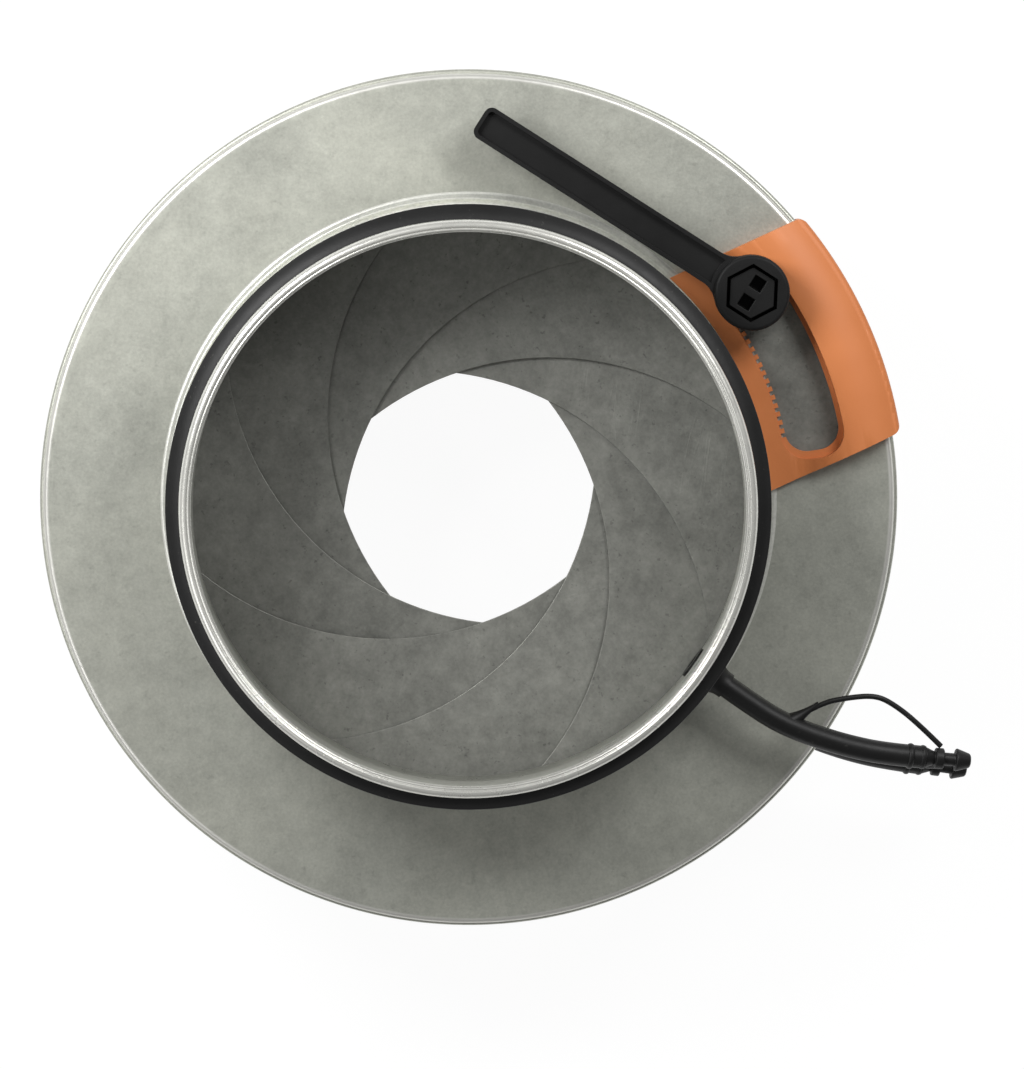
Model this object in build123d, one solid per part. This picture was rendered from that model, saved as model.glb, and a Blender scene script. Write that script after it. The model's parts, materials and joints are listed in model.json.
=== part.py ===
from build123d import *
from math import asin, atan, cos, degrees, radians, sin, tan
import os

os.makedirs("parts", exist_ok=True)

# Iris volume control damper for a round duct, millimetres, +Z along the duct axis towards the lever side.
# The origin is the centre of the rear spigot's end. Everything is drawn with the iris at its smallest
# opening and the lever folded along the spigot.

# Duct spigots
spigot_radius = 62.0          # outside of the folded end, for a 125 mm duct
hem_stand = 0.6               # how far the folded end stands out of the collar's wall
collar_wall = 0.7
collar_reach = 38.0           # from a cover's outer face to the spigot's end
hem_bend_radius = 1.299       # outside of the fold, a hair under half its thickness
hem_thickness = 2.6
hem_length = 5.5              # how far the folded edge comes back
joggle_length = 2.0           # slope that brings the wall in under the gasket
joggle_gap = 0.3              # from the end of the slope to the gasket

# Rubber duct gaskets
gasket_span = 12.0            # from the spigot's end to the far side of the gasket
gasket_lip_reach = 3.8        # out of the gasket's body, which is flush with the collar
gasket_lip_thickness = 0.7
gasket_lip_inset = 1.1        # from the hem's edge to the first lip
gasket_lip_sweep = 2.2        # how far a lip leans away from the spigot's end
gasket_lip_spacing = 2.6
gasket_tuck = 2.7             # length of the foot that the hem clamps
gasket_gap = 0.1

# Casing
casing_width = 32.0           # from the spigot's outside to the outside of the lock seam
seam_width = 1.4
cover_sheet = 0.8
cavity_depth = 10.6           # between the inner faces of the two covers
neck_height = 4.8             # of the collar seat above a cover's outer face
neck_bend = 4.0
rim_bend = 1.6
seam_gap = 0.1

# Iris
blade_count = 8
blade_sheet = 0.5
blade_bore_margin = 2.0       # of an open blade's inner edge outside the spigot
blade_heel = 2.5              # of a blade's outer edge outside the pivots
blade_start_angle = -3.0            # angles of the two ends, about the arc centre from the pivot
blade_end_angle = 114.0
blade_near_round = 6.0        # corner radii
blade_far_round = 9.0
blade_slope = 0.054           # each blade leans, so that its tail passes under the next ones
blade_slope_angle = 153.0
pivot_inset = 8.0             # of the pivots' circle inside the lock seam
pivot_angle = 15.575          # of the first pivot
iris_throat_share = 0.4258    # smallest opening as a share of the spigot, to the middle of a blade's edge
ring_travel = 23.1            # turn of the drive ring from smallest to fully open

# Pins and rings that carry the blades
pin_radius = 1.5
pin_head_radius = 2.8
pin_head_thickness = 0.8
lobe_margin = 3.0
pin_clearance = 0.1
slide_clearance = 0.15        # of a drive pin in a blade's slot
ring_sheet = 1.2
ring_clearance = 0.1
drive_ring_margin = 0.5       # of the drive ring's bore outside the blades' inner edge
pivot_ring_inset = 3.0        # the fixed ring starts this far inside the pivots' circle
pivot_ring_margin = 4.8       # and ends this far outside it
drive_pin_radius = 1.4
drive_pin_inset = 5.0         # from the drive ring's bore
drive_pin_drop = 2.5
blade_clearance = 0.15

# Scale plate
scale_angle = 24.7            # direction of its middle
scale_width = 51.5
scale_gap = 3.4               # from the spigot's outside to the plate's inner edge
scale_overhang = 1.5          # past the lock seam
scale_strip = 1.5             # thickness of the flat inner strip
scale_relief = 0.5            # the inner edge's underside clears the cover's neck by this slope
scale_relief_width = 1.6
scale_crown = 5.2
scale_round = 2.2             # outer corners, seen along the duct
crown_inset = 3.3             # from the slot's inner side to the foot of the crown
crown_foot_round = 9.0
crown_edge_drop = 1.2         # the crown's outer edge rolls over by this much
crown_peak_shift = 0.5
strip_width = 5.25            # from the plate's inner edge to the slot
slot_width = 11.8
slot_start_angle = 8.2
slot_end_angle = 41.2
slot_round = 4.8
ledge_width = 1.0             # along the slot's inner side
ledge_end_width = 1.7
ledge_outer_width = 0.9
ledge_height = 1.0
notch_count = 17
notch_angle = 1.56
notch_width = 0.9
notch_depth = 0.9
skirt_drop = 1.0              # how far the skirt's hook passes below the lock seam
skirt_hook = 1.2

# Lever and its clamp
stud_angle = 36.6
slider_clearance = 0.2
slider_half_angle = 4.35
slider_round = 4.3
spring_length = 6.0           # detent spring in the slider's inner side
spring_sheet = 0.4
spring_play = 0.3
spring_height = 2.1
boss_radius = 3.0
boss_flange_radius = 4.2
boss_flange_thickness = 0.5
screw_radius = 1.9
screw_clearance = 0.05
washer_radius = 6.2
washer_thickness = 0.6
crown_clearance = 0.3
hub_radius = 8.2
hub_height = 8.0
hub_floor = 1.3
hub_round = 0.8
hex_across_flats = 11.0       # well in the hub
head_across_flats = 9.7       # screw's head that stands in it
hex_sink = 1.1                # how far the head lies below the hub's top
key_well_size = 2.8
key_well_offset = 2.35
key_well_depth = 4.0
lever_direction = 147.5
lever_length = 69.9
lever_width = 7.6
lever_height = 5.7
lever_lift = 0.8              # of the bar above the hub's underside
lever_rim = 0.9
lever_recess = 1.4
lever_tip_round = 1.8
lever_blend = 6.0

# Pressure tapping hoses
tap_angle = -35.5
tap_height = 10.6             # above a cover's outer face
hose_radius = 2.5
hose_bore_radius = 1.5
tap_hole_radius = 2.6
tap_inner_flange = 3.6
tap_root_radius = 5.6         # the moulded root that spreads on the collar
tap_flange_thickness = 0.9
tap_sleeve = 0.4              # thickness of the stub round the hose's outside
tap_flare = 4.9               # length over which the root narrows to the stub
tap_flare_round = 4.0
tap_reach = 7.0               # of the stub's end from the spigot's outside
tap_straight = 6.0            # the hose's first straight run
plug_stem = 2.2               # lengths of the plug's parts, from the hose's end
plug_ring = 1.9
plug_neck = 2.6
plug_knob = 3.4
plug_ring_radius = 2.3
plug_neck_radius = 1.4
plug_knob_radius = 2.6
plug_tip_radius = 1.5
tether_radius = 0.6

# Radii that follow from the spigot and the casing's width
collar_radius = spigot_radius - hem_stand
casing_radius = spigot_radius + casing_width
blade_inner_radius = spigot_radius + blade_bore_margin
pivot_radius = casing_radius - pivot_inset
blade_outer_radius = pivot_radius + blade_heel
ring_split_radius = pivot_radius - pivot_ring_inset
pivot_ring_outer = pivot_radius + pivot_ring_margin
drive_ring_inner = blade_inner_radius + drive_ring_margin
drive_ring_outer = ring_split_radius - ring_clearance
drive_pin_circle = drive_ring_inner + drive_pin_inset
scale_inner_radius = spigot_radius + scale_gap
slot_inner = scale_inner_radius + strip_width
slot_outer = slot_inner + slot_width
stud_radius = slot_inner + slot_width / 2
tap_stub_end = spigot_radius + tap_reach

# Heights
rear_inner = collar_reach + cover_sheet
front_inner = rear_inner + cavity_depth
front_face = front_inner + cover_sheet
front_rim = front_face + collar_reach
seam_height = rear_inner + cavity_depth / 2
wall_radius = casing_radius - seam_width

# Iris geometry. A blade's arc is centred on the duct when the iris is open. Turning the blade about its
# pivot moves that centre aside by centre_shift, which leaves the throat's radius on the far side.
centre_shift = blade_inner_radius - iris_throat_share * spigot_radius
blade_turn = 2 * degrees(asin(centre_shift / (2 * pivot_radius)))
turn_ratio = blade_turn / ring_travel
blade_step = 360 / blade_count
lobe_radius = pin_radius + lobe_margin
blade_tilt = degrees(atan(blade_slope))

pivot_ring_underside = front_inner - ring_sheet
drive_ring_top = front_inner - ring_clearance
drive_ring_underside = drive_ring_top - ring_sheet
lobe_rise = blade_slope * lobe_radius
pivot_height = drive_ring_underside - blade_clearance - blade_sheet / 2 - lobe_rise
pin_seat = blade_sheet / 2 + blade_slope * pin_head_radius + pin_clearance / 2

slider_top = front_face + scale_crown + crown_clearance
lever_underside = slider_top + washer_thickness
hex_floor = lever_underside + hub_floor


def polar(radius, angle, height=0):
    return Vector(radius * cos(radians(angle)), radius * sin(radians(angle)), height)


def rounded_face(corners):
    """Flat face through (x, y) or (x, y, corner radius) points."""
    points = [corner[:2] for corner in corners]
    radii = [corner[2] if len(corner) > 2 else 0 for corner in corners]
    return make_face(FilletPolyline(*points, radius=radii, close=True))


def turned(face):
    """Solid of revolution about Z from a face drawn as (radius, height)."""
    return revolve(Plane.XZ * face, Axis.Z)


def washer(inner, outer, bottom, top):
    return Pos(0, 0, bottom) * extrude(Circle(outer) - Circle(inner), top - bottom)


def ring_sector(inner, outer, start, end):
    """Flat part of a ring between two angles."""
    outline = (
        CenterArc((0, 0), outer, start, end - start)
        + Line(polar(outer, end), polar(inner, end))
        + CenterArc((0, 0), inner, start, end - start)
        + Line(polar(inner, start), polar(outer, start))
    )
    return make_face(outline)


def round_corner(face, point, radius):
    """The face with its corner nearest to the point rounded."""
    corner = face.vertices().sort_by_distance(point)[0]
    return fillet(corner, radius)


def save(shape, name):
    shape.label = name
    export_step(shape, f"parts/{name}.step")


# ---- Casing: two pressed covers joined by a lock seam ----

def cover_outline(seam):
    """Section of a cover, height measured outwards from its inner face."""
    neck_top = cover_sheet + neck_height
    flange = cover_sheet - cavity_depth / 2
    return [
        (collar_radius, neck_top),
        (collar_radius + cover_sheet, neck_top),
        (collar_radius + cover_sheet, cover_sheet, neck_bend),
        (wall_radius, cover_sheet, rim_bend),
        (wall_radius, flange),
        *seam,
        (wall_radius - cover_sheet, flange - cover_sheet),
        (wall_radius - cover_sheet, 0, rim_bend - cover_sheet),
        (collar_radius, 0, neck_bend + cover_sheet),
    ]


flange_outer = casing_radius - cover_sheet - seam_gap / 2
mating_plane = -cavity_depth / 2
front_seam = [(flange_outer, mating_plane + cover_sheet), (flange_outer, mating_plane)]
hem_far_side = mating_plane - 2 * cover_sheet
rear_seam = [
    (casing_radius, mating_plane + cover_sheet, cover_sheet - seam_gap),
    (casing_radius, hem_far_side, cover_sheet - seam_gap),
    (wall_radius + seam_gap, hem_far_side),
    (wall_radius + seam_gap, mating_plane - cover_sheet),
    (flange_outer + seam_gap / 2, mating_plane - cover_sheet),
    (flange_outer + seam_gap / 2, mating_plane),
]

slider_margin = degrees(ledge_width / 2 / stud_radius)
window = ring_sector(slot_inner - ledge_width / 2, slot_outer + slider_clearance,
                     slot_start_angle - slider_margin, slot_end_angle + slider_margin)
window = fillet(window.vertices(), slot_round)
front_cover = Pos(0, 0, front_inner) * turned(rounded_face(cover_outline(front_seam)))
front_cover -= Pos(0, 0, front_inner - cover_sheet) * extrude(window, 3 * cover_sheet)
rear_cover = Pos(0, 0, rear_inner) * mirror(turned(rounded_face(cover_outline(rear_seam))), Plane.XY)
save(front_cover, "front_cover")
save(rear_cover, "rear_cover")


# ---- Collars with a folded end that clamps the duct gasket ----

collar_length = cover_sheet + collar_reach
stepped_inner = spigot_radius - hem_thickness
stepped_outer = stepped_inner + collar_wall
hem_inner_radius = hem_bend_radius - collar_wall
gasket_start = collar_length - gasket_span
joggle_end = gasket_start - joggle_gap
joggle_start = joggle_end - joggle_length
hem_edge = collar_length - hem_length

collar_face = rounded_face([
    (collar_radius - collar_wall, 0),
    (collar_radius - collar_wall, joggle_start),
    (stepped_inner, joggle_end),
    (stepped_inner, collar_length, hem_bend_radius),
    (spigot_radius, collar_length, hem_bend_radius),
    (spigot_radius, hem_edge),
    (spigot_radius - collar_wall, hem_edge),
    (spigot_radius - collar_wall, collar_length - collar_wall, hem_inner_radius),
    (stepped_outer, collar_length - collar_wall, hem_inner_radius),
    (stepped_outer, gasket_start),
    (collar_radius, gasket_start - joggle_length),
    (collar_radius, 0),
])

gasket_corners = [
    (stepped_outer, gasket_start),
    (collar_radius, gasket_start),
]
for lip in (1, 0):
    root = hem_edge - gasket_lip_inset - lip * gasket_lip_spacing
    gasket_corners += [
        (collar_radius, root - 2 * gasket_lip_thickness),
        (collar_radius + gasket_lip_reach, root - gasket_lip_sweep),
        (collar_radius + gasket_lip_reach, root - gasket_lip_sweep + gasket_lip_thickness),
        (collar_radius, root),
    ]
gasket_corners += [
    (collar_radius, hem_edge - gasket_gap),
    (spigot_radius - collar_wall, hem_edge - gasket_gap),
    (spigot_radius - collar_wall, hem_edge + gasket_tuck),
    (stepped_outer, hem_edge + gasket_tuck),
]

tap_level = cover_sheet + tap_height
tap_direction = polar(1, tap_angle)
tap_plane = Plane(origin=(0, 0, tap_level), x_dir=(0, 0, 1), z_dir=tap_direction)
tap_hole = tap_plane * Pos(0, 0, spigot_radius) * Cylinder(tap_hole_radius, 6 * collar_wall)

flange_seat = collar_radius - collar_wall - gasket_gap
sleeve_radius = hose_radius + tap_sleeve
tap_stub = tap_plane * revolve(Plane.XZ * rounded_face([
    (hose_bore_radius, flange_seat - tap_flange_thickness),
    (tap_inner_flange, flange_seat - tap_flange_thickness),
    (tap_inner_flange, flange_seat),
    (tap_hole_radius, flange_seat),
    (tap_hole_radius, collar_radius),
    (tap_root_radius, collar_radius),
    (tap_root_radius, collar_radius + tap_flange_thickness),
    (sleeve_radius, collar_radius + tap_flange_thickness + tap_flare, tap_flare_round),
    (sleeve_radius, tap_stub_end),
    (hose_bore_radius, tap_stub_end),
]), Axis.Z)

collar = turned(collar_face) - tap_hole
gasket = turned(rounded_face(gasket_corners))
for side, height, flip in (("front", front_inner, False), ("rear", rear_inner, True)):
    for shape, name in ((collar, "collar"), (gasket, "gasket"), (tap_stub, "tap_stub")):
        placed = mirror(shape, Plane.XY) if flip else shape
        save(Pos(0, 0, height) * placed, f"{side}_{name}")


# ---- Iris blades ----

def pin_in_blade(ring_turn):
    """Where a drive pin stands on a blade drawn in its open position."""
    pivot = Vector(pivot_radius, 0)
    offset = polar(drive_pin_circle, ring_turn) - pivot
    return pivot + offset.rotate(Axis.Z, -turn_ratio * ring_turn)


blade_face = ring_sector(blade_inner_radius, blade_outer_radius, blade_start_angle, blade_end_angle)
blade_face = round_corner(blade_face, polar(blade_inner_radius, blade_start_angle), blade_near_round)
blade_face = round_corner(blade_face, polar(blade_inner_radius, blade_end_angle), blade_far_round)
blade_face = round_corner(blade_face, polar(blade_outer_radius, blade_end_angle), blade_far_round)
blade_face += Pos(pivot_radius, 0) * Circle(lobe_radius)
blade_face -= Pos(pivot_radius, 0) * Circle(pin_radius + pin_clearance)
slot_path = ThreePointArc(pin_in_blade(0), pin_in_blade(ring_travel / 2), pin_in_blade(ring_travel))
blade_face -= SlotArc(slot_path, 2 * (drive_pin_radius + slide_clearance))

lean_axis = Axis((pivot_radius, 0, 0), polar(1, blade_slope_angle + 90))
pivot_axis = Axis((pivot_radius, 0, 0), (0, 0, 1))
blade = extrude(blade_face, blade_sheet / 2, both=True)
blade = blade.rotate(lean_axis, blade_tilt).rotate(pivot_axis, blade_turn)
for number in range(blade_count):
    turn = pivot_angle + number * blade_step
    save(Pos(0, 0, pivot_height) * blade.rotate(Axis.Z, turn), f"blade_{number + 1}")


# ---- Rings and pins that guide the blades ----

pivot_ring = washer(ring_split_radius, pivot_ring_outer, pivot_ring_underside, front_inner)
drive_ring = washer(drive_ring_inner, drive_ring_outer, drive_ring_underside, drive_ring_top)
pivot_pins = []
drive_pins = []
pivot_pin = turned(rounded_face([
    (0, front_inner),
    (pin_radius, front_inner),
    (pin_radius, pivot_ring_underside),
    (pin_head_radius, pivot_ring_underside),
    (pin_head_radius, pivot_height + pin_seat),
    (pin_radius, pivot_height + pin_seat),
    (pin_radius, pivot_height - pin_seat),
    (pin_head_radius, pivot_height - pin_seat),
    (pin_head_radius, pivot_height - pin_seat - pin_head_thickness, 0.4),
    (0, pivot_height - pin_seat - pin_head_thickness),
]))
drive_pin = Pos(0, 0, drive_ring_underside - drive_pin_drop) * extrude(
    Circle(drive_pin_radius), ring_sheet + drive_pin_drop)
for number in range(blade_count):
    pivot_place = Pos(polar(pivot_radius, pivot_angle + number * blade_step))
    drive_place = Pos(polar(drive_pin_circle, pivot_angle + ring_travel + number * blade_step))
    pivot_pins.append(pivot_place * pivot_pin)
    drive_pins.append(drive_place * drive_pin)
    pivot_ring -= pivot_place * Pos(0, 0, pivot_ring_underside) * extrude(Circle(pin_radius), ring_sheet)
    drive_ring -= drive_place * Pos(0, 0, drive_ring_underside) * extrude(
        Circle(drive_pin_radius), ring_sheet)

stud = Pos(polar(stud_radius, stud_angle))
drive_ring -= stud * Pos(0, 0, drive_ring_underside) * extrude(Circle(boss_radius), ring_sheet)
save(pivot_ring, "pivot_ring")
save(drive_ring, "drive_ring")
save(Compound(children=pivot_pins), "pivot_pins")
save(Compound(children=drive_pins), "drive_pins")


# ---- Scale plate: crowned moulding with the lever's slot and its row of notches ----

scale_outer = casing_radius + scale_overhang
strip_top = front_face + scale_strip
skirt_inner = casing_radius + seam_gap
hem_bottom = seam_height - cover_sheet
crown_start = slot_inner + crown_inset
crown_end = scale_outer - crown_edge_drop
crown_edge = front_face + scale_crown / 2
crown_peak = (slot_outer + crown_end) / 2 - crown_peak_shift
plate_section = (
    Polyline(
        (crown_start, strip_top), (scale_inner_radius, strip_top),
        (scale_inner_radius, front_face + scale_relief),
        (scale_inner_radius + scale_relief_width, front_face),
        (skirt_inner, front_face), (skirt_inner, hem_bottom - seam_gap),
        (skirt_inner - skirt_hook, hem_bottom - seam_gap),
        (skirt_inner - skirt_hook, hem_bottom - skirt_drop),
        (scale_outer, hem_bottom - skirt_drop), (scale_outer, crown_edge - crown_edge_drop),
    )
    + RadiusArc((scale_outer, crown_edge - crown_edge_drop), (crown_end, crown_edge), -1.1 * crown_edge_drop)
    + ThreePointArc(
        (crown_end, crown_edge), (crown_peak, front_face + scale_crown), (crown_start, strip_top))
)
plate_face = round_corner(make_face(plate_section), (crown_start, strip_top), crown_foot_round)
plate = turned(plate_face)
plate_outline = Circle(scale_outer) & (Pos(casing_radius, 0) * Rectangle(casing_radius, scale_width))
outer_corners = plate_outline.vertices().group_by(Axis.X)[-1]
plate &= extrude(fillet(outer_corners, scale_round), front_rim)
plate = plate.rotate(Axis.Z, scale_angle)

slot_plan = ring_sector(slot_inner, slot_outer, slot_start_angle, slot_end_angle)
lever_slot = fillet(slot_plan.vertices(), slot_round)
ledge_turn = degrees(ledge_end_width / stud_radius)
ledge = ring_sector(slot_inner - ledge_width, slot_outer + ledge_outer_width,
                    slot_start_angle - ledge_turn, slot_end_angle + ledge_turn)
ledge = fillet(ledge.vertices(), slot_round + ledge_width)
plate -= Pos(0, 0, front_face) * extrude(lever_slot, scale_crown)
plate -= Pos(0, 0, front_face + ledge_height) * extrude(ledge, scale_crown)
notch = Pos(slot_inner, 0, front_face) * Box(2 * notch_depth, notch_width, 4 * ledge_height)
for number in range(notch_count):
    plate -= notch.rotate(Axis.Z, stud_angle - number * notch_angle)
save(plate, "scale_plate")


# ---- Slider, threaded boss and clamp under the lever ----

slider_face = ring_sector(slot_inner + slider_clearance, slot_outer - slider_clearance,
                          stud_angle - slider_half_angle, stud_angle + slider_half_angle)
slider_face = fillet(slider_face.vertices(), slider_round)
slider = Pos(0, 0, drive_ring_top) * extrude(slider_face, slider_top - drive_ring_top)
slider -= stud * Pos(0, 0, drive_ring_top) * extrude(Circle(boss_radius), slider_top - drive_ring_top)

spring_foot = front_face + spring_play
spring_top = spring_foot + spring_height
spring_outer = slot_inner + slider_clearance + spring_sheet + spring_play
spring_half_angle = degrees(spring_length / 2 / slot_inner)
nose_reach = slot_inner + pin_clearance
spring_pocket = ring_sector(slot_inner, spring_outer, stud_angle - spring_half_angle,
                            stud_angle + spring_half_angle)
spring_face = ring_sector(spring_outer - spring_sheet, spring_outer, stud_angle - spring_half_angle,
                          stud_angle + spring_half_angle)
nose_half_angle = degrees(notch_width / 2 / slot_inner) * 0.8  # four fifths of a notch
spring_face += ring_sector(nose_reach, spring_outer, stud_angle - nose_half_angle,
                           stud_angle + nose_half_angle)
slider -= Pos(0, 0, spring_foot) * extrude(spring_pocket, spring_top - spring_foot)
spring = Pos(0, 0, spring_foot) * extrude(spring_face, spring_top - spring_foot)
save(slider, "slider_block")
save(spring, "detent_spring")

boss_top = slider_top - pin_clearance
boss = stud * turned(rounded_face([
    (screw_radius + screw_clearance, drive_ring_underside - boss_flange_thickness),
    (boss_flange_radius, drive_ring_underside - boss_flange_thickness),
    (boss_flange_radius, drive_ring_underside),
    (boss_radius, drive_ring_underside),
    (boss_radius, boss_top),
    (screw_radius + screw_clearance, boss_top),
]))
clamp_washer = stud * washer(screw_radius + screw_clearance, washer_radius, slider_top, lever_underside)
save(boss, "threaded_boss")
save(clamp_washer, "clamp_washer")


# ---- Lever with a hexagon socket, and the two-well locking screw that it turns ----

hub_top = lever_underside + hub_height
lever_bar = Pos(lever_length / 2, 0) * Rectangle(lever_length, lever_width)
lever_bar = fillet(lever_bar.vertices().group_by(Axis.X)[-1], lever_tip_round)
lever_plan = lever_bar + Circle(hub_radius)
joins = [v for v in lever_plan.vertices() if abs(Vector(*v).length - hub_radius) < pin_clearance]
lever_plan = fillet(joins, lever_blend)
recess = offset(lever_bar, -lever_rim) - Circle(hub_radius + lever_rim)
bar_floor = lever_underside + lever_lift
lever = Pos(0, 0, bar_floor) * extrude(lever_plan, lever_height)
lever += Pos(0, 0, lever_underside) * extrude(Circle(hub_radius), hub_height)
lever -= Pos(0, 0, bar_floor + lever_height - lever_recess) * extrude(recess, lever_recess)
hub_edges = lever.edges().filter_by(GeomType.CIRCLE).filter_by(
    lambda edge: abs(edge.radius - hub_radius) < pin_clearance and edge.center().Z > hub_top - hub_round)
lever = fillet(hub_edges, hub_round)
socket = RegularPolygon(hex_across_flats / 2, 6, major_radius=False)
lever -= Pos(0, 0, hex_floor) * extrude(socket, hub_height)
lever -= Pos(0, 0, lever_underside) * extrude(Circle(screw_radius + pin_clearance), hub_height)
save(stud * lever.rotate(Axis.Z, lever_direction), "lever_handle")

head_height = hub_height - hub_floor - hex_sink
head = RegularPolygon(head_across_flats / 2, 6, major_radius=False)
screw = Pos(0, 0, hex_floor) * extrude(head, head_height)
screw += Pos(0, 0, front_face) * extrude(Circle(screw_radius), hex_floor - front_face)
for side in (-1, 1):
    well = Pos(0, side * key_well_offset, hex_floor + head_height - key_well_depth / 2)
    screw -= well * Box(key_well_size, key_well_size, key_well_depth)
save(stud * screw.rotate(Axis.Z, lever_direction), "locking_screw")


# ---- Pressure tapping hoses, their plugs and the plug tethers ----

def cord_radii(points):
    """Largest tangent arc at each corner of a route: 0.45 of the shorter run over tan(half the turn)."""
    radii = []
    for before, corner, after in zip(points, points[1:], points[2:]):
        run_in = Vector(corner) - Vector(before)
        run_out = Vector(after) - Vector(corner)
        half_turn = radians(run_in.get_angle(run_out)) / 2
        radii.append(0.45 * min(run_in.length, run_out.length) / tan(half_turn))
    return radii


def cord(points, radius, name):
    """Round tube of straight runs and tangent arcs through the route's points."""
    radii = cord_radii(points)
    path = FilletPolyline(*points, radius=radii)
    tube = sweep(Plane(origin=path @ 0, z_dir=path % 0) * Circle(radius), path)
    share = tube.volume / (3.14159265 * radius ** 2 * path.length)
    print(f"{name}: {path.length:.1f} mm long, volume {share:.4f} of section times length, "
          f"arc radii {', '.join(f'{value:.1f}' for value in radii)} mm")
    save(tube, name)
    return path


tap_start = polar(tap_stub_end, tap_angle)
tap_run = polar(tap_straight, tap_angle)
front_start = tap_start + Vector(0, 0, front_inner + tap_level)
rear_start = tap_start + Vector(0, 0, rear_inner - tap_level)


def route(start, steps):
    """A cord's points, from how far each lies from the end of its tapping."""
    return [start + Vector(*step) for step in steps]


front_hose_route = route(front_start, [
    (0, 0, 0), (tap_run.X, tap_run.Y, 0), (11.1, -7.5, -0.1), (17.8, -10.4, -0.6),
    (26.2, -13.1, -1.3), (35.0, -15.0, -2.3), (43.4, -15.8, -3.4),
])
rear_hose_route = route(rear_start, [
    (0, 0, 0), (tap_run.X, tap_run.Y, 0), (10.8, -8.9, -0.2), (18.9, -13.7, -0.6),
    (27.7, -16.9, -1.3), (36.4, -19.0, -2.1), (44.6, -20.2, -3.0),
])
front_tether_route = route(front_start, [
    (14.7, -7.3, -0.3), (20.1, -3.8, -0.4), (26.6, -2.5, -0.7), (32.2, -2.1, -1.1),
    (35.8, -3.6, -1.6), (41.3, -7.8, -2.5), (46.9, -13.4, -3.6),
])
rear_tether_route = route(rear_start, [
    (22.4, -15.0, 0.2), (24.3, -15.7, 4.1), (29.3, -17.1, 8.1), (35.8, -18.5, 8.4),
    (42.8, -19.7, 5.1), (47.3, -20.5, 0.6), (47.8, -20.6, -1.9),
])


def plug(path):
    """Stem that closes a hose's free end, with a collar for its tether and a knob to pull it by."""
    end = Plane(origin=path @ 1, z_dir=path % 1)
    ring_end = plug_stem + plug_ring
    knob_start = ring_end + plug_neck
    knob_end = knob_start + plug_knob
    return end * revolve(Plane.XZ * rounded_face([
        (0, 0),
        (plug_ring_radius, 0),
        (plug_neck_radius, plug_stem),
        (plug_ring_radius, plug_stem, plug_ring / 6),
        (plug_ring_radius, ring_end, plug_ring / 6),
        (plug_neck_radius, ring_end),
        (plug_neck_radius, knob_start),
        (plug_knob_radius, knob_start, plug_ring / 6),
        (plug_tip_radius, knob_end, plug_tip_radius / 2),
        (0, knob_end),
    ]), Axis.Z)


for side, hose_route, tether_route in (
    ("front", front_hose_route, front_tether_route),
    ("rear", rear_hose_route, rear_tether_route),
):
    hose_path = cord(hose_route, hose_radius, f"{side}_hose")
    cord(tether_route, tether_radius, f"{side}_tether")
    save(plug(hose_path), f"{side}_plug")
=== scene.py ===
import json
import bmesh
import bpy
import numpy as np
from math import radians
from mathutils import Matrix, Vector


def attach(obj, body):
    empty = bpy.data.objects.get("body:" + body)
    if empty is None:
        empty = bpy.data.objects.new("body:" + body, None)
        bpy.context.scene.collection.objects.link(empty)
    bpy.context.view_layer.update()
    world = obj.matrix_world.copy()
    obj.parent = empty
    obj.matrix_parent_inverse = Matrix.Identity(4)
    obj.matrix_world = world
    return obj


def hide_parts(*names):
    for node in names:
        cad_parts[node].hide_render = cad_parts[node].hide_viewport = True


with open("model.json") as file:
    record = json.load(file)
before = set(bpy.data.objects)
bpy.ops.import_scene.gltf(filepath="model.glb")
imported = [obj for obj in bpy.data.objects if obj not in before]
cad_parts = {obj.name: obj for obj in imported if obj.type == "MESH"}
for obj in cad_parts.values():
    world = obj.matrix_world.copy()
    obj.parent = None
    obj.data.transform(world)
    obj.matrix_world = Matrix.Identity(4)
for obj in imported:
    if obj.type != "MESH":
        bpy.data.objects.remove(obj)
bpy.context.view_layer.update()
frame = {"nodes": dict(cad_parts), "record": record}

depth = 0.0882  # along the duct, from one spigot's end to the other
middle = depth / 2
print("frame loaded:", len(frame["nodes"]), "nodes")


# camera: a long lens almost straight down the duct
cameraPlace = {"position": (0.00333, 0.09648, 1.74242), "aim": (0.00950, -0.00796, 0.04410), "lens": 261.0}

cameraData = bpy.data.cameras.new("camera")
cameraData.lens = cameraPlace["lens"]
cameraData.clip_end = 20
camera = bpy.data.objects.new("camera", cameraData)
bpy.context.scene.collection.objects.link(camera)
camera.location = cameraPlace["position"]
sight = (Vector(cameraPlace["aim"]) - camera.location).normalized()
across = sight.cross(Vector((0, 1, 0))).normalized()
camera.rotation_mode = "QUATERNION"
camera.rotation_quaternion = Matrix((across, across.cross(sight), -sight)).transposed().to_quaternion()
bpy.context.scene.camera = camera
bpy.context.scene.view_settings.view_transform = "Standard"


# shader maths: a Field wraps a socket, so plain expressions add Math nodes
class Field:
    def __init__(self, finish, socket):
        self.finish = finish
        self.socket = socket

    def math(self, operation, first, second):
        return self.finish.node("Math", {"operation": operation}, {0: first, 1: second})

    def __add__(self, other): return self.math("ADD", self, other)
    def __radd__(self, other): return self.math("ADD", other, self)
    def __sub__(self, other): return self.math("SUBTRACT", self, other)
    def __rsub__(self, other): return self.math("SUBTRACT", other, self)
    def __mul__(self, other): return self.math("MULTIPLY", self, other)
    def __rmul__(self, other): return self.math("MULTIPLY", other, self)
    def __pow__(self, other): return self.math("POWER", self, other)


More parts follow.
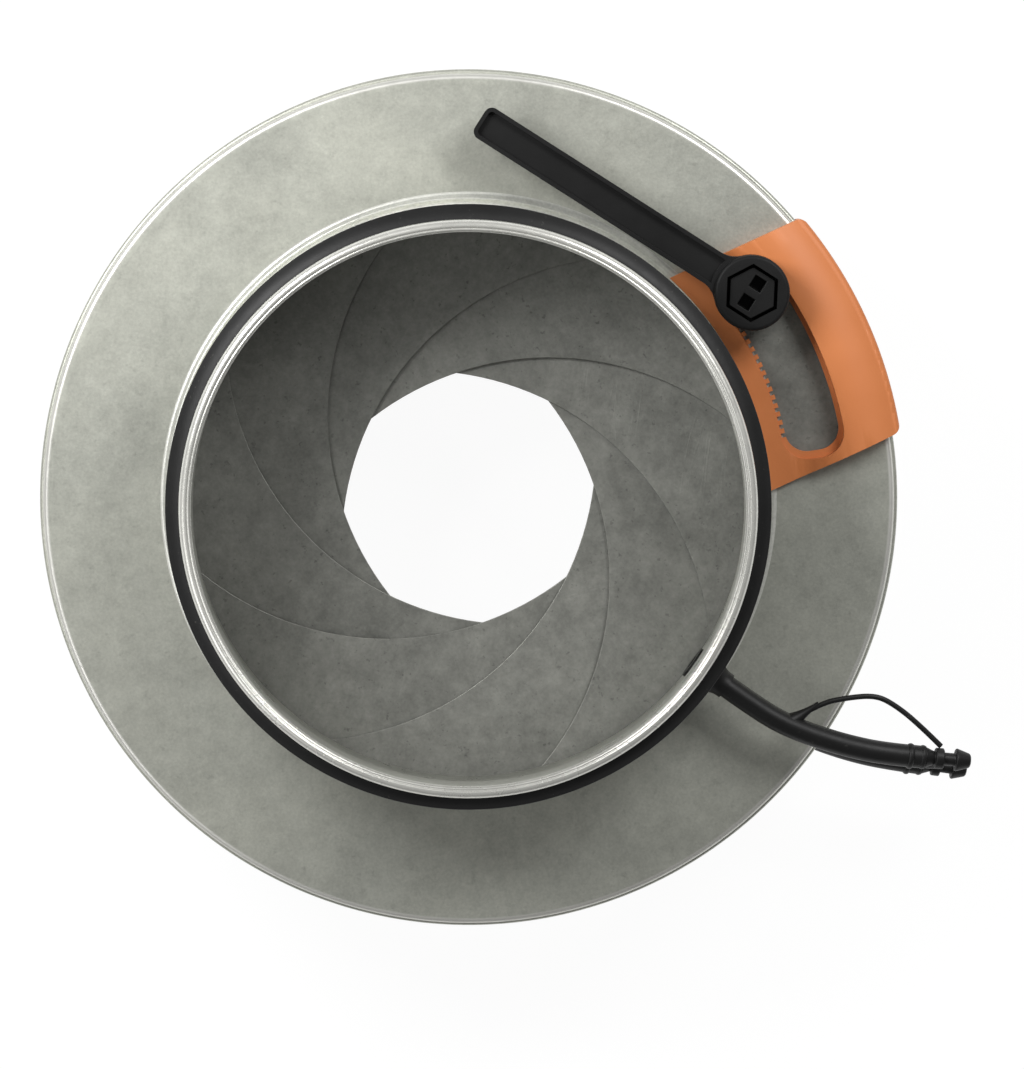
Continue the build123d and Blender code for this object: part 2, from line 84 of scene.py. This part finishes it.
class Finish:
    def __init__(self, name):
        self.material = bpy.data.materials.new(name)
        self.material.use_nodes = True
        self.tree = self.material.node_tree
        self.tree.nodes.clear()
        self.output = self.tree.nodes.new("ShaderNodeOutputMaterial")
        self.place = self.node("TexCoord", {}, {}, "Object")

    # the one way in which nodes are made: type, settings first, then socket values or links
    def node(self, kind, settings, sockets, out=0):
        made = self.tree.nodes.new("ShaderNode" + kind)
        for key, value in settings.items():
            if key == "stops":
                self.setStops(made.color_ramp, value)
            else:
                setattr(made, key, value)
        for key, value in sockets.items():
            if isinstance(value, Field):
                self.tree.links.new(value.socket, made.inputs[key])
            else:
                made.inputs[key].default_value = value
        return Field(self, made.outputs[out])

    def setStops(self, ramp, stops):
        for index, (position, shade) in enumerate(stops):
            element = ramp.elements[index] if index < 2 else ramp.elements.new(position)
            element.position = position
            element.color = (shade, shade, shade, 1) if isinstance(shade, (int, float)) else (*shade, 1)

    def noise(self, size, detail=3.0, roughness=0.5, stretch=None, distortion=0.0):
        vector = self.place
        if stretch is not None:
            vector = self.node("Mapping", {}, {"Vector": vector, "Scale": stretch})
        return self.node("TexNoise", {}, {"Vector": vector, "Scale": 1 / size, "Detail": detail,
                                          "Roughness": roughness, "Distortion": distortion})

    def ramp(self, factor, *stops):
        return self.node("ValToRGB", {"stops": stops}, {"Fac": factor})

    def mix(self, factor, first, second, blend="MIX"):
        first = first if isinstance(first, Field) else (*first, 1)
        second = second if isinstance(second, Field) else (*second, 1)
        return self.node("Mix", {"data_type": "RGBA", "blend_type": blend},
                         {0: factor, 6: first, 7: second}, 2)

    def bump(self, height, strength, distance, under=None):
        sockets = {"Height": height, "Strength": strength, "Distance": distance}
        if under is not None:
            sockets["Normal"] = under
        return self.node("Bump", {}, sockets)

    def surface(self, sockets):
        shader = self.node("BsdfPrincipled", {}, sockets)
        self.tree.links.new(shader.socket, self.output.inputs["Surface"])
        return self.material


# painted highlights, where a sheet is given a lighter, smoother colour: on the fold, by height, and on the rim's
# bend, by distance from the axis
def foldHighlight(finish):
    height = finish.node("SeparateXYZ", {}, {"Vector": finish.place}, "Z")
    fromMiddle = finish.node("Math", {"operation": "ABSOLUTE"}, {0: height - middle})
    return finish.ramp(fromMiddle * 20, (0.854, 0.0), (0.872, 0.6))


def rimHighlight(finish):
    # painted highlight: a light band on the rim's bend, found from its distance to the axis
    x, y = (finish.node("SeparateXYZ", {}, {"Vector": finish.place}, axis) for axis in "XY")
    fromAxis = (x * x + y * y) ** 0.5
    return finish.ramp(fromAxis * 10, (0.9185, 0.0), (0.9225, 0.85), (0.9285, 0.85), (0.9315, 0.0))


# galvanized sheet: zinc spangle, dull stains and a fine grain, and, where a mask is given, a painted highlight
def galvanized(name, shade, rough, stain, seed, relief=1.0, paintedHighlight=None):
    finish = Finish(name)
    highlightMask = 0.0 if paintedHighlight is None else paintedHighlight(finish)
    finish.place = finish.node("Mapping", {}, {"Vector": finish.place, "Location": (seed, seed * 0.37, 0)})
    clouds = finish.noise(0.045, 4, 0.55)
    spots = finish.noise(0.009, 5, 0.62)
    mottle = finish.noise(0.0026, 3, 0.65)
    spangle = finish.node("TexVoronoi", {"feature": "F1"}, {"Vector": finish.place, "Scale": 420.0}, "Color")
    spangle = finish.node("SeparateColor", {}, {"Color": spangle}, "Red")
    grain = finish.noise(0.0006, 2, 0.6)
    flecks = finish.ramp(finish.noise(0.0022, 3, 0.7), (0.60, 0.0), (0.74, 1.0))
    tone = 0.35 + clouds * 0.34 + spots * 0.28 + mottle * 0.30 + spangle * 0.08 + grain * 0.40 - flecks * stain
    colour = finish.mix(clouds, tuple(c * 0.96 for c in shade), (shade[0], shade[1] * 0.985, shade[2] * 0.95))
    toned = finish.node("CombineColor", {}, {"Red": tone, "Green": tone, "Blue": tone})
    colour = finish.mix(1.0, colour, toned, "MULTIPLY")
    # painted highlight: under the mask the colour turns to a light zinc and the sheet gets smoother
    colour = finish.mix(highlightMask, colour, (0.74, 0.73, 0.69))
    roughness = rough + clouds * 0.10 + spots * 0.12 - spangle * 0.05 - highlightMask * 0.06
    dents = finish.bump(grain, 0.25 * relief, 0.00005)
    dents = finish.bump(spots, 0.18 * relief, 0.0003, dents)
    return finish.surface({"Base Color": colour, "Metallic": 0.62, "Roughness": roughness, "Normal": dents})


# blade sheet: the same zinc, darker, with rubbed arcs and thin scratches
def bladeSheet(name, seed):
    finish = Finish(name)
    finish.place = finish.node("Mapping", {}, {"Vector": finish.place, "Location": (seed * 0.3, seed * 0.7, 0),
                                               "Rotation": (0, 0, seed)})
    clouds = finish.noise(0.030, 5, 0.6)
    blots = finish.noise(0.006, 4, 0.65)
    mottle = finish.noise(0.0024, 3, 0.65)
    grain = finish.noise(0.0007, 2, 0.6)
    specks = finish.ramp(finish.noise(0.0016, 2, 0.75), (0.64, 0.0), (0.72, 1.0))
    scratch = finish.noise(0.004, 2, 0.5, (0.06, 1.4, 1.0), 0.15)
    lines = finish.ramp(scratch, (0.485, 0.0), (0.50, 1.0), (0.515, 0.0))
    broken = finish.ramp(finish.noise(0.018, 2, 0.5), (0.58, 0.0), (0.66, 1.0))
    lines = lines * broken
    tone = 0.03 + clouds * 0.50 + blots * 0.50 + mottle * 0.58 + grain * 0.40 - specks * 0.30 + lines * 0.07
    toned = finish.node("CombineColor", {}, {"Red": tone, "Green": tone, "Blue": tone})
    colour = finish.mix(1.0, finish.mix(clouds, (0.185, 0.188, 0.170), (0.240, 0.240, 0.218)), toned, "MULTIPLY")
    relief = finish.bump(grain, 0.25, 0.00005)
    relief = finish.bump(lines, 0.12, 0.0001, relief)
    return finish.surface({"Base Color": colour, "Metallic": 0.60, "Roughness": 0.36 + blots * 0.22 + specks * 0.1,
                           "Normal": relief})


# zinc plated pins: a bright skin with dull patches
def zincPlate(name):
    finish = Finish(name)
    dull = finish.noise(0.004, 3, 0.6)
    grain = finish.noise(0.0004, 2, 0.5)
    colour = finish.mix(dull, (0.62, 0.61, 0.58), (0.74, 0.73, 0.70))
    return finish.surface({"Base Color": colour, "Metallic": 0.9, "Roughness": 0.25 + dull * 0.2,
                           "Normal": finish.bump(grain, 0.2, 0.00003)})


# black rubber: satin skin, dust in the hollows
def rubber(name, dust):
    finish = Finish(name)
    skin = finish.noise(0.0009, 3, 0.6)
    patches = finish.noise(0.007, 3, 0.6)
    motes = finish.ramp(finish.noise(0.0011, 3, 0.8), (0.63, 0.0), (0.76, 1.0))
    motes = motes * finish.ramp(patches, (0.42, 0.0), (0.66, 1.0)) * dust
    colour = finish.mix(motes, (0.007, 0.007, 0.007), (0.15, 0.15, 0.135))
    roughness = 0.38 + patches * 0.20 + motes * 0.2
    return finish.surface({"Base Color": colour, "Roughness": roughness, "Specular IOR Level": 0.3,
                           "Normal": finish.bump(skin, 0.35, 0.00008)})


# black moulding: fine eroded texture under a faint haze
def blackMoulding(name):
    finish = Finish(name)
    texture = finish.noise(0.0005, 2, 0.5)
    haze = finish.noise(0.011, 3, 0.6)
    colour = finish.mix(haze, (0.006, 0.006, 0.006), (0.012, 0.012, 0.012))
    return finish.surface({"Base Color": colour, "Roughness": 0.42 + haze * 0.18, "Specular IOR Level": 0.16,
                           "Normal": finish.bump(texture, 0.4, 0.00006)})


# orange moulding: satin, with slow flow marks
def orangeMoulding(name):
    finish = Finish(name)
    texture = finish.noise(0.0006, 2, 0.5)
    flow = finish.noise(0.014, 3, 0.55)
    colour = finish.mix(flow, (0.57, 0.182, 0.056), (0.66, 0.226, 0.078))
    return finish.surface({"Base Color": colour, "Roughness": 0.40 + flow * 0.12, "Specular IOR Level": 0.35,
                           "Normal": finish.bump(texture, 0.3, 0.00006)})


sheets = {
    "galvanizedSheet": {"shade": (0.43, 0.44, 0.395), "rough": 0.34, "stain": 0.16, "seed": 0.0},
    "rimSheet": {"shade": (0.43, 0.44, 0.395), "rough": 0.34, "stain": 0.16, "seed": 0.0, "paintedHighlight": rimHighlight},
    # a lighter, smoother copy of the cover's sheet: a painted highlight on the bead round the collar's foot
    "beadHighlightSheet": {"shade": (0.66, 0.67, 0.63), "rough": 0.27, "stain": 0.06, "seed": 0.17, "relief": 0.3},
    "collarSheet": {"shade": (0.50, 0.51, 0.475), "rough": 0.22, "stain": 0.10, "seed": 0.31, "relief": 0.25,
                    "paintedHighlight": foldHighlight},
}
sheetFinishes = {name: galvanized(name, **sheet) for name, sheet in sheets.items()}
finishes = {
    "galvanized_sheet": sheetFinishes["galvanizedSheet"],
    "collar_steel": sheetFinishes["collarSheet"],
    "zinc_pins": zincPlate("zincPlate"),
    "black_rubber": rubber("blackRubber", 0.6),
    "black_plastic": blackMoulding("blackMoulding"),
    "orange_plastic": orangeMoulding("orangeMoulding"),
}
slotOf = {part["node"]: part["material_slot"] for part in frame["record"]["subparts"]}


def paint(piece, material):
    piece.data.materials.clear()
    piece.data.materials.append(material)


for node, cadPiece in frame["nodes"].items():
    if node.startswith("blade_"):
        paint(cadPiece, bladeSheet(f"bladeSheet{node[-1]}", float(node[-1])))
    elif slotOf[node] == "blade_steel":
        paint(cadPiece, bladeSheet(node + "Sheet", 9.5))
    else:
        paint(cadPiece, finishes[slotOf[node]])
print("materials made")


# a CAD node's mesh, merged, stands in for the node
def standIn(node, body):
    mesh = frame["nodes"][node].data.copy()
    mesh.name = node + "Eased"
    work = bmesh.new()
    work.from_mesh(mesh)
    bmesh.ops.remove_doubles(work, verts=work.verts, dist=1e-6)
    work.to_mesh(mesh)
    work.free()
    piece = bpy.data.objects.new(node + "Eased", mesh)
    bpy.context.scene.collection.objects.link(piece)
    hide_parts(node)
    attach(piece, body)
    return piece


# smooth shading, kept sharp where faces meet at more than the angle
def smoothed(piece, angle=30):
    mesh = piece.data
    mesh.polygons.foreach_set("use_smooth", [True] * len(mesh.polygons))
    mesh.set_sharp_from_angle(angle=radians(angle))


# its flat facets are joined and its edges eased
def easedCopy(node, body, width, segments):
    piece = standIn(node, body)
    work = bmesh.new()
    work.from_mesh(piece.data)
    bmesh.ops.dissolve_limit(work, angle_limit=radians(0.5), verts=work.verts, edges=work.edges)
    work.to_mesh(piece.data)
    work.free()
    smoothed(piece)
    bevel = piece.modifiers.new("edges", "BEVEL")
    bevel.width = width
    bevel.segments = segments
    bevel.limit_method = "ANGLE"
    bevel.angle_limit = radians(35)
    bevel.use_clamp_overlap = True
    bevel.harden_normals = True
    return piece


easing = {
    "lever_handle": ("lever", 0.00035, 3),
    "locking_screw": ("lever", 0.00020, 2),
    "scale_plate": ("casing", 0.00030, 3),
    "slider_block": ("drive", 0.00020, 2),
    "front_plug": ("casing", 0.00020, 2),
    "rear_plug": ("casing", 0.00020, 2),
}
for blade in range(1, 9):
    easing[f"blade_{blade}"] = (f"blade_{blade}", 0.00014, 2)
eased = {node: easedCopy(node, *how) for node, how in easing.items()}


# a turned piece: point = foot + axis * along + radius * (side * cos + other * sin), for each (along, radius)
# of the profile, in millimetres
def turned(name, material, body, profile, foot=(0, 0, 0), towards=(0, 0, 1), steps=480):
    axis = (Vector(towards) - Vector(foot)).normalized()
    side = axis.orthogonal().normalized()
    angles = np.linspace(0, 2 * np.pi, steps, endpoint=False)
    spokes = np.outer(np.cos(angles), side) + np.outer(np.sin(angles), axis.cross(side))
    along, radius = np.array(profile).T / 1000
    grid = np.array(foot) + along[:, None, None] * np.array(axis) + radius[:, None, None] * spokes
    row, turn = np.indices((len(profile), steps))
    nextRow, nextTurn = (row + 1) % len(profile), (turn + 1) % steps
    corners = (row * steps + turn, row * steps + nextTurn, nextRow * steps + nextTurn, nextRow * steps + turn)
    mesh = bpy.data.meshes.new(name)
    mesh.from_pydata(grid.reshape(-1, 3).tolist(), [], np.stack(corners, -1).reshape(-1, 4).tolist())
    piece = bpy.data.objects.new(name, mesh)
    bpy.context.scene.collection.objects.link(piece)
    piece.data.materials.append(material)
    smoothed(piece, 50)
    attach(piece, body)
    return piece


# points of an arc about (along, radius), angles from the radius direction towards the axis direction
def arc(along, radius, bend, start, end, count):
    angles = np.radians(np.linspace(start, end, count))
    return list(zip(along + bend * np.sin(angles), radius + bend * np.cos(angles)))


# the rear side's profile is the front one's, mirrored in the lock seam and walked the other way round
def onSide(side, profile):
    return profile if side == "front" else [(1000 * depth - along, radius) for along, radius in reversed(profile)]


# covers: the pressed rim, the bead round the collar's foot and the lock seam between them
rim = {"inner": 90.7, "wall": 93.1, "bend": 1.1, "face": 50.22, "sheet": 0.5, "foot": 45.0}
rimProfile = [(rim["face"] - rim["sheet"], rim["inner"]), (rim["face"] - rim["sheet"], rim["wall"] - rim["bend"]),
              (rim["face"] - rim["bend"], rim["wall"] - rim["sheet"]), (rim["foot"], rim["wall"] - rim["sheet"]),
              (rim["foot"], rim["wall"])]
rimProfile += arc(rim["face"] - rim["bend"], rim["wall"] - rim["bend"], rim["bend"], 0, 90, 14)
rimProfile += [(rim["face"], rim["inner"])]
seam = {"inner": 92.62, "outer": 94.02, "low": 43.28, "high": 45.72, "bend": 0.72}
seamProfile = [(seam["low"], seam["inner"])]
seamProfile += arc(seam["low"] + seam["bend"], seam["outer"] - seam["bend"], seam["bend"], -90, 0, 10)
seamProfile += arc(seam["high"] - seam["bend"], seam["outer"] - seam["bend"], seam["bend"], 0, 90, 10)
seamProfile += [(seam["high"], seam["inner"])]
turned("lockSeam", finishes["galvanized_sheet"], "casing", seamProfile)

# the bead's height above the cover = bead * exp(-((radius - crest) / spread) ** 2) + the neck's quarter circle
foot = {"outer": 67.4, "inner": 62.22, "face": 50.2, "bead": 0.85, "crest": 65.95, "spread": 0.62, "neck": 4.0}
reach = np.linspace(foot["outer"], foot["inner"], 56)
climb = np.clip(foot["inner"] + foot["neck"] - reach, 0, foot["neck"])
rise = foot["neck"] - np.sqrt(foot["neck"] ** 2 - climb ** 2)
rise += foot["bead"] * np.exp(-((reach - foot["crest"]) / foot["spread"]) ** 2) + 0.02
footProfile = [(foot["face"] - 0.3, foot["inner"]), (foot["face"] - 0.3, foot["outer"])]
footProfile += list(zip(foot["face"] + rise, reach))

# the folded end: a half round whose crown is pressed in along a narrow line
fold = {"outer": 62.02, "inner": 59.38, "top": 88.2, "edge": 82.72, "line": 60.25, "depth": 0.24, "spread": 0.22}
half = (fold["outer"] - fold["inner"]) / 2
crown = np.array(arc(fold["top"] - half, fold["inner"] + half, half, 0, 180, 72))
crown[:, 0] -= fold["depth"] * np.exp(-((crown[:, 1] - fold["line"]) / fold["spread"]) ** 2)
foldProfile = [(fold["edge"], fold["inner"]), (fold["edge"], fold["outer"])] + crown.tolist()

# duct gasket: lips that bow outwards and away from the spigot's end, drop = fall * t ** bow
gasket = {"inner": 60.4, "outer": 61.42, "tip": 65.2, "start": 76.22, "end": 82.7, "roots": (79.0, 81.6),
          "thickness": 0.7, "fall": 1.65, "bow": 1.8}
gasketProfile = [(gasket["start"], gasket["inner"]), (gasket["start"], gasket["outer"])]
for root in gasket["roots"]:
    t = np.linspace(0, 1, 16)
    drop = gasket["fall"] * t ** gasket["bow"]
    bow = list(zip(root - drop, gasket["outer"] + (gasket["tip"] - 0.3 - gasket["outer"]) * t))
    under = [(along - gasket["thickness"] * (1.6 - 0.6 * part), radius)
             for (along, radius), part in zip(bow, t)]
    gasketProfile += under + arc(bow[-1][0] - gasket["thickness"] / 2, bow[-1][1], 0.3, -60, 60, 5) + bow[::-1]
gasketProfile += [(gasket["end"], gasket["outer"]), (gasket["end"], gasket["inner"])]

for side in ("front", "rear"):
    turned(side + "Rim", sheetFinishes["rimSheet"], "casing", onSide(side, rimProfile))
    turned(side + "FootBead", sheetFinishes["beadHighlightSheet"], "casing",
           onSide(side, footProfile))
    turned(side + "Fold", finishes["collar_steel"], "casing", onSide(side, foldProfile))
    seal = turned(side + "Gasket", finishes["black_rubber"], "casing", onSide(side, gasketProfile))
    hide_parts(side + "_gasket")

# the collars' own crowns lie just inside the turned ones
sunk = {"depth": 0.0004, "from": 0.0427}
for side in ("front", "rear"):
    collar = standIn(side + "_collar", "casing")
    spots = np.empty(len(collar.data.vertices) * 3, np.float32)
    collar.data.vertices.foreach_get("co", spots)
    spots = spots.reshape(-1, 3)
    fromMiddle = spots[:, 2] - middle
    spots[:, 2] -= np.sign(fromMiddle) * (np.abs(fromMiddle) > sunk["from"]) * sunk["depth"]
    collar.data.vertices.foreach_set("co", spots.ravel())
    smoothed(collar, 40)
print("turned pieces and eased copies made")


# hoses and tethers: the routes' points are the spline's control points
def cordCurve(name, route, radius):
    curve = bpy.data.curves.new(name, "CURVE")
    curve.dimensions = "3D"
    curve.bevel_depth = radius
    curve.bevel_resolution = 5
    curve.resolution_u = 10
    curve.use_fill_caps = True
    spline = curve.splines.new("NURBS")
    spline.points.add(len(route) - 1)
    for point, place in zip(spline.points, route):
        point.co = (*place, 1)
    spline.order_u = 3
    spline.use_endpoint_u = True
    piece = bpy.data.objects.new(name, curve)
    bpy.context.scene.collection.objects.link(piece)
    piece.data.materials.append(finishes["black_rubber"])
    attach(piece, "casing")
    return piece


hoseSize = {"radius": 0.0025, "tether": 0.0006}
tapping = {"reach": 0.069, "straight": 0.006, "angle": radians(-35.5), "height": {"front": 0.0608, "rear": 0.0274}}
outward = (float(np.cos(tapping["angle"])), float(np.sin(tapping["angle"])))


# a cord's points, from how far each lies from the end of its tapping, in millimetres
def route(side, steps):
    start = (tapping["reach"] * outward[0], tapping["reach"] * outward[1], tapping["height"][side])
    return [tuple(c + d / 1000 for c, d in zip(start, step)) for step in steps]


straight = (1000 * tapping["straight"] * outward[0], 1000 * tapping["straight"] * outward[1], 0)
routes = {
    "front_hose": route("front", [
        (0, 0, 0), straight, (11.1, -7.5, -0.1), (17.8, -10.4, -0.6), (26.2, -13.1, -1.3),
        (35.0, -15.0, -2.3), (43.4, -15.8, -3.4)]),
    "rear_hose": route("rear", [
        (0, 0, 0), straight, (10.8, -8.9, -0.2), (18.9, -13.7, -0.6), (27.7, -16.9, -1.3),
        (36.4, -19.0, -2.1), (44.6, -20.2, -3.0)]),
    "front_tether": route("front", [
        (14.7, -7.3, -0.3), (20.1, -3.8, -0.4), (26.6, -2.5, -0.7), (32.2, -2.1, -1.1),
        (35.8, -3.6, -1.6), (41.3, -7.8, -2.5), (46.9, -13.4, -3.6)]),
    "rear_tether": route("rear", [
        (22.4, -15.0, 0.2), (24.3, -15.7, 4.1), (29.3, -17.1, 8.1), (35.8, -18.5, 8.4),
        (42.8, -19.7, 5.1), (47.3, -20.5, 0.6), (47.8, -20.6, -1.9)]),
}

# a bead: radius = base + rise * sin(pi * t) ** 0.5, and a root that narrows as (1 - t) ** 2; both are closed
# by a bore inside the cord
def beadProfile(bore, base, rise, width):
    t = np.linspace(0, 1, 13)
    return [(0, bore)] + list(zip(width * t, base + rise * np.sin(np.pi * t) ** 0.5)) + [(width, bore)]


def rootProfile(bore, start, base, rise, reach):
    t = np.linspace(0, 1, 13)
    return [(start, bore)] + list(zip(start + reach * t, base + rise * (1 - t) ** 2)) + [(start + reach, bore)]


def rubberDetail(name, profile, foot, towards):
    return turned(name, finishes["black_rubber"], "casing", profile, foot, towards, 40)


for side in ("front", "rear"):
    hose = cordCurve(side + "Hose", routes[side + "_hose"], hoseSize["radius"])
    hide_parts(side + "_hose")
    before, end = (Vector(point) for point in routes[side + "_hose"][-2:])
    back = (before - end).normalized()
    bead = rubberDetail(side + "HoseBead", beadProfile(1.9, 2.42, 0.40, 1.3), end + back * 0.0040, end)
    lip = rubberDetail(side + "HoseLip", beadProfile(1.9, 2.42, 0.22, 1.0), end + back * 0.0011, end)
    leaving, run = routes[side + "_tether"][:2]
    root = rubberDetail(side + "TetherRoot", rootProfile(0.3, -1.2, 0.58, 1.65, 7.6), leaving, run)
    tether = cordCurve(side + "Tether", routes[side + "_tether"], hoseSize["tether"])
    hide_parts(side + "_tether")
print("cords laid")


# floor and light
floorFinish = Finish("paleFloor")
rays = [floorFinish.node("LightPath", {}, {}, "Is " + kind + " Ray")
        for kind in ("Camera", "Glossy", "Transmission")]
seen = floorFinish.node("Math", {"operation": "MAXIMUM"}, {0: rays[0], 1: rays[1]})
seen = floorFinish.node("Math", {"operation": "MAXIMUM"}, {0: seen, 1: rays[2]})
paleShade = floorFinish.node("BsdfDiffuse", {}, {"Color": (0.85, 0.85, 0.85, 1)})
paleGlow = floorFinish.node("Emission", {}, {"Color": (1, 1, 1, 1), "Strength": 1.05})
floorMix = floorFinish.node("MixShader", {}, {0: seen * 0.9, 1: paleShade, 2: paleGlow})
floorFinish.tree.links.new(floorMix.socket, floorFinish.output.inputs["Surface"])

floorMesh = bpy.data.meshes.new("floor")
floorReach = 3.0
floorMesh.from_pydata([(x * floorReach, y * floorReach, 0) for x, y in ((-1, -1), (1, -1), (1, 1), (-1, 1))], [],
                      [(0, 1, 2, 3)])
floor = bpy.data.objects.new("floor", floorMesh)
bpy.context.scene.collection.objects.link(floor)
floor.data.materials.append(floorFinish.material)

lamps = {
    "keyLamp": {"place": (-0.27, 0.22, 0.40), "size": 0.20, "power": 2.1},
    "leftLamp": {"place": (-0.50, -0.28, 0.62), "size": 0.40, "power": 1.2},
    "topLamp": {"place": (0.30, 0.34, 0.48), "size": 0.22, "power": 2.1},
}
for name, lamp in lamps.items():
    data = bpy.data.lights.new(name, "AREA")
    data.size = lamp["size"]
    data.energy = lamp["power"]
    lampObject = bpy.data.objects.new(name, data)
    bpy.context.scene.collection.objects.link(lampObject)
    lampObject.location = lamp["place"]
    towards = Vector((0, 0, 0.045)) - lampObject.location
    lampObject.rotation_mode = "QUATERNION"
    lampObject.rotation_quaternion = towards.to_track_quat("-Z", "Y")

world = bpy.data.worlds.new("studio")
bpy.context.scene.world = world
world.use_nodes = True
world.node_tree.nodes["Background"].inputs["Color"].default_value = (1, 1, 1, 1)
world.node_tree.nodes["Background"].inputs["Strength"].default_value = 0.19
print("stage and lamps set")
